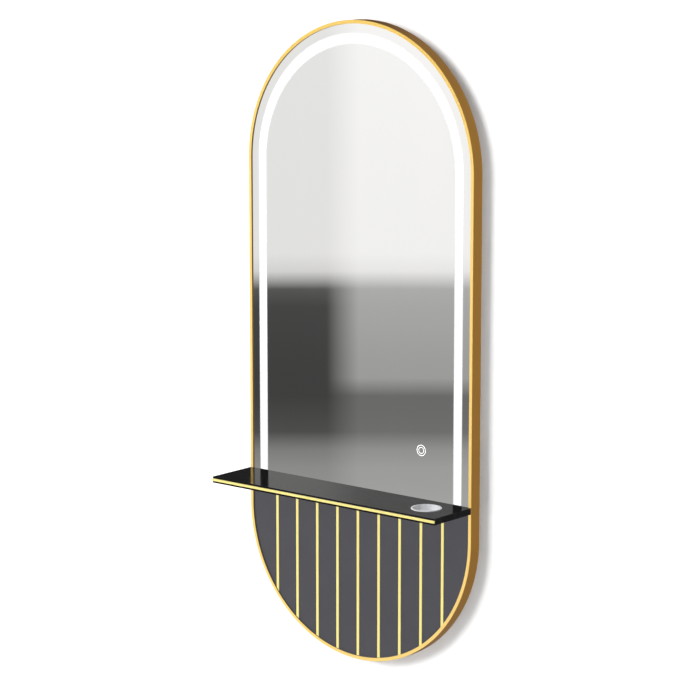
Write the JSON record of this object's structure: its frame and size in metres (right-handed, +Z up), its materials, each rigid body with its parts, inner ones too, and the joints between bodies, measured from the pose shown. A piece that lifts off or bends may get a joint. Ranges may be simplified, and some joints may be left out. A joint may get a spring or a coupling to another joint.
{
  "type": "lighted vanity mirror",
  "caption": "Tall pill-shaped wall mirror with a gold band, an etched light band, a striped lower panel, and a shelf with a hair dryer hole.",
  "frame": {"origin": "on the wall cleat's back face, which lies on the wall, at the height of the upper half circle's centre", "axes": "the mirror faces -Y with the wall at y = 0, +X is to the right as seen from the front, +Z is up"},
  "size_m": [0.8, 0.202, 1.8],
  "materials": {
    "gold_steel": "brushed, gold coated",
    "pale_gold": "satin polished",
    "mirror": "silvered glass with an etched light band",
    "opal_acrylic": "opal, lit from behind",
    "circuit_board": "coated circuit board",
    "aluminium": "mill finish",
    "fibreboard": "raw fibreboard",
    "grey_lacquer": "satin grey lacquer",
    "black_lacquer": "high gloss black lacquer",
    "stainless_steel": "satin stainless steel",
    "black_steel": "black powder coat",
    "zinc_steel": "zinc plated",
    "white_plastic": "moulded",
    "black_plastic": "moulded",
    "foam_tape": "closed cell foam",
    "cable_sheath": "extruded sheath"
  },
  "bodies": {
    "wall_cleat": {"wall_cleat": "aluminium"},
    "mirror": {"backing_board": "fibreboard", "bracket_shelf_screw_1": "zinc_steel", "bracket_shelf_screw_2": "zinc_steel", "bracket_shelf_screw_3": "zinc_steel", "bracket_shelf_screw_4": "zinc_steel", "bracket_wall_screw_1": "zinc_steel", "bracket_wall_screw_2": "zinc_steel", "bracket_wall_screw_3": "zinc_steel", "bracket_wall_screw_4": "zinc_steel", "cable_gland": "black_plastic", "cleat_screw_1": "zinc_steel", "cleat_screw_2": "zinc_steel", "cleat_screw_3": "zinc_steel", "driver_screw_1": "zinc_steel", "driver_screw_2": "zinc_steel", "dryer_ring": "stainless_steel", "frame_band": "gold_steel", "frame_screw_1": "zinc_steel", "frame_screw_2": "zinc_steel", "frame_screw_3": "zinc_steel", "frame_screw_4": "zinc_steel", "frame_screw_5": "zinc_steel", "frame_screw_6": "zinc_steel", "junction_box": "white_plastic", "junction_box_lid": "white_plastic", "lead_clip_1": "black_plastic", "lead_clip_2": "black_plastic", "led_channel": "aluminium", "led_driver": "white_plastic", "led_strip": "circuit_board", "light_diffuser": "opal_acrylic", "light_lead": "cable_sheath", "lower_panel": "grey_lacquer", "mains_lead": "cable_sheath", "mirror_cleat": "aluminium", "mirror_glass": "mirror", "mirror_tape_centre": "foam_tape", "mirror_tape_left": "foam_tape", "mirror_tape_right": "foam_tape", "panel_inlay_1": "pale_gold", "panel_inlay_2": "pale_gold", "panel_inlay_3": "pale_gold", "panel_inlay_4": "pale_gold", "panel_inlay_5": "pale_gold", "panel_inlay_6": "pale_gold", "panel_inlay_7": "pale_gold", "panel_inlay_8": "pale_gold", "panel_inlay_9": "pale_gold", "sensor_lead": "cable_sheath", "shelf_board": "black_lacquer", "shelf_bracket_left": "black_steel", "shelf_bracket_right": "black_steel", "shelf_edge_trim": "pale_gold", "terminal_block": "black_plastic", "touch_sensor": "circuit_board"}
  },
  "joints": [
    {"name": "lift_off", "type": "slide", "parent": "wall_cleat", "child": "mirror", "axis": [0, 0, 1], "range_m": [0, 0.016]}
  ]
}
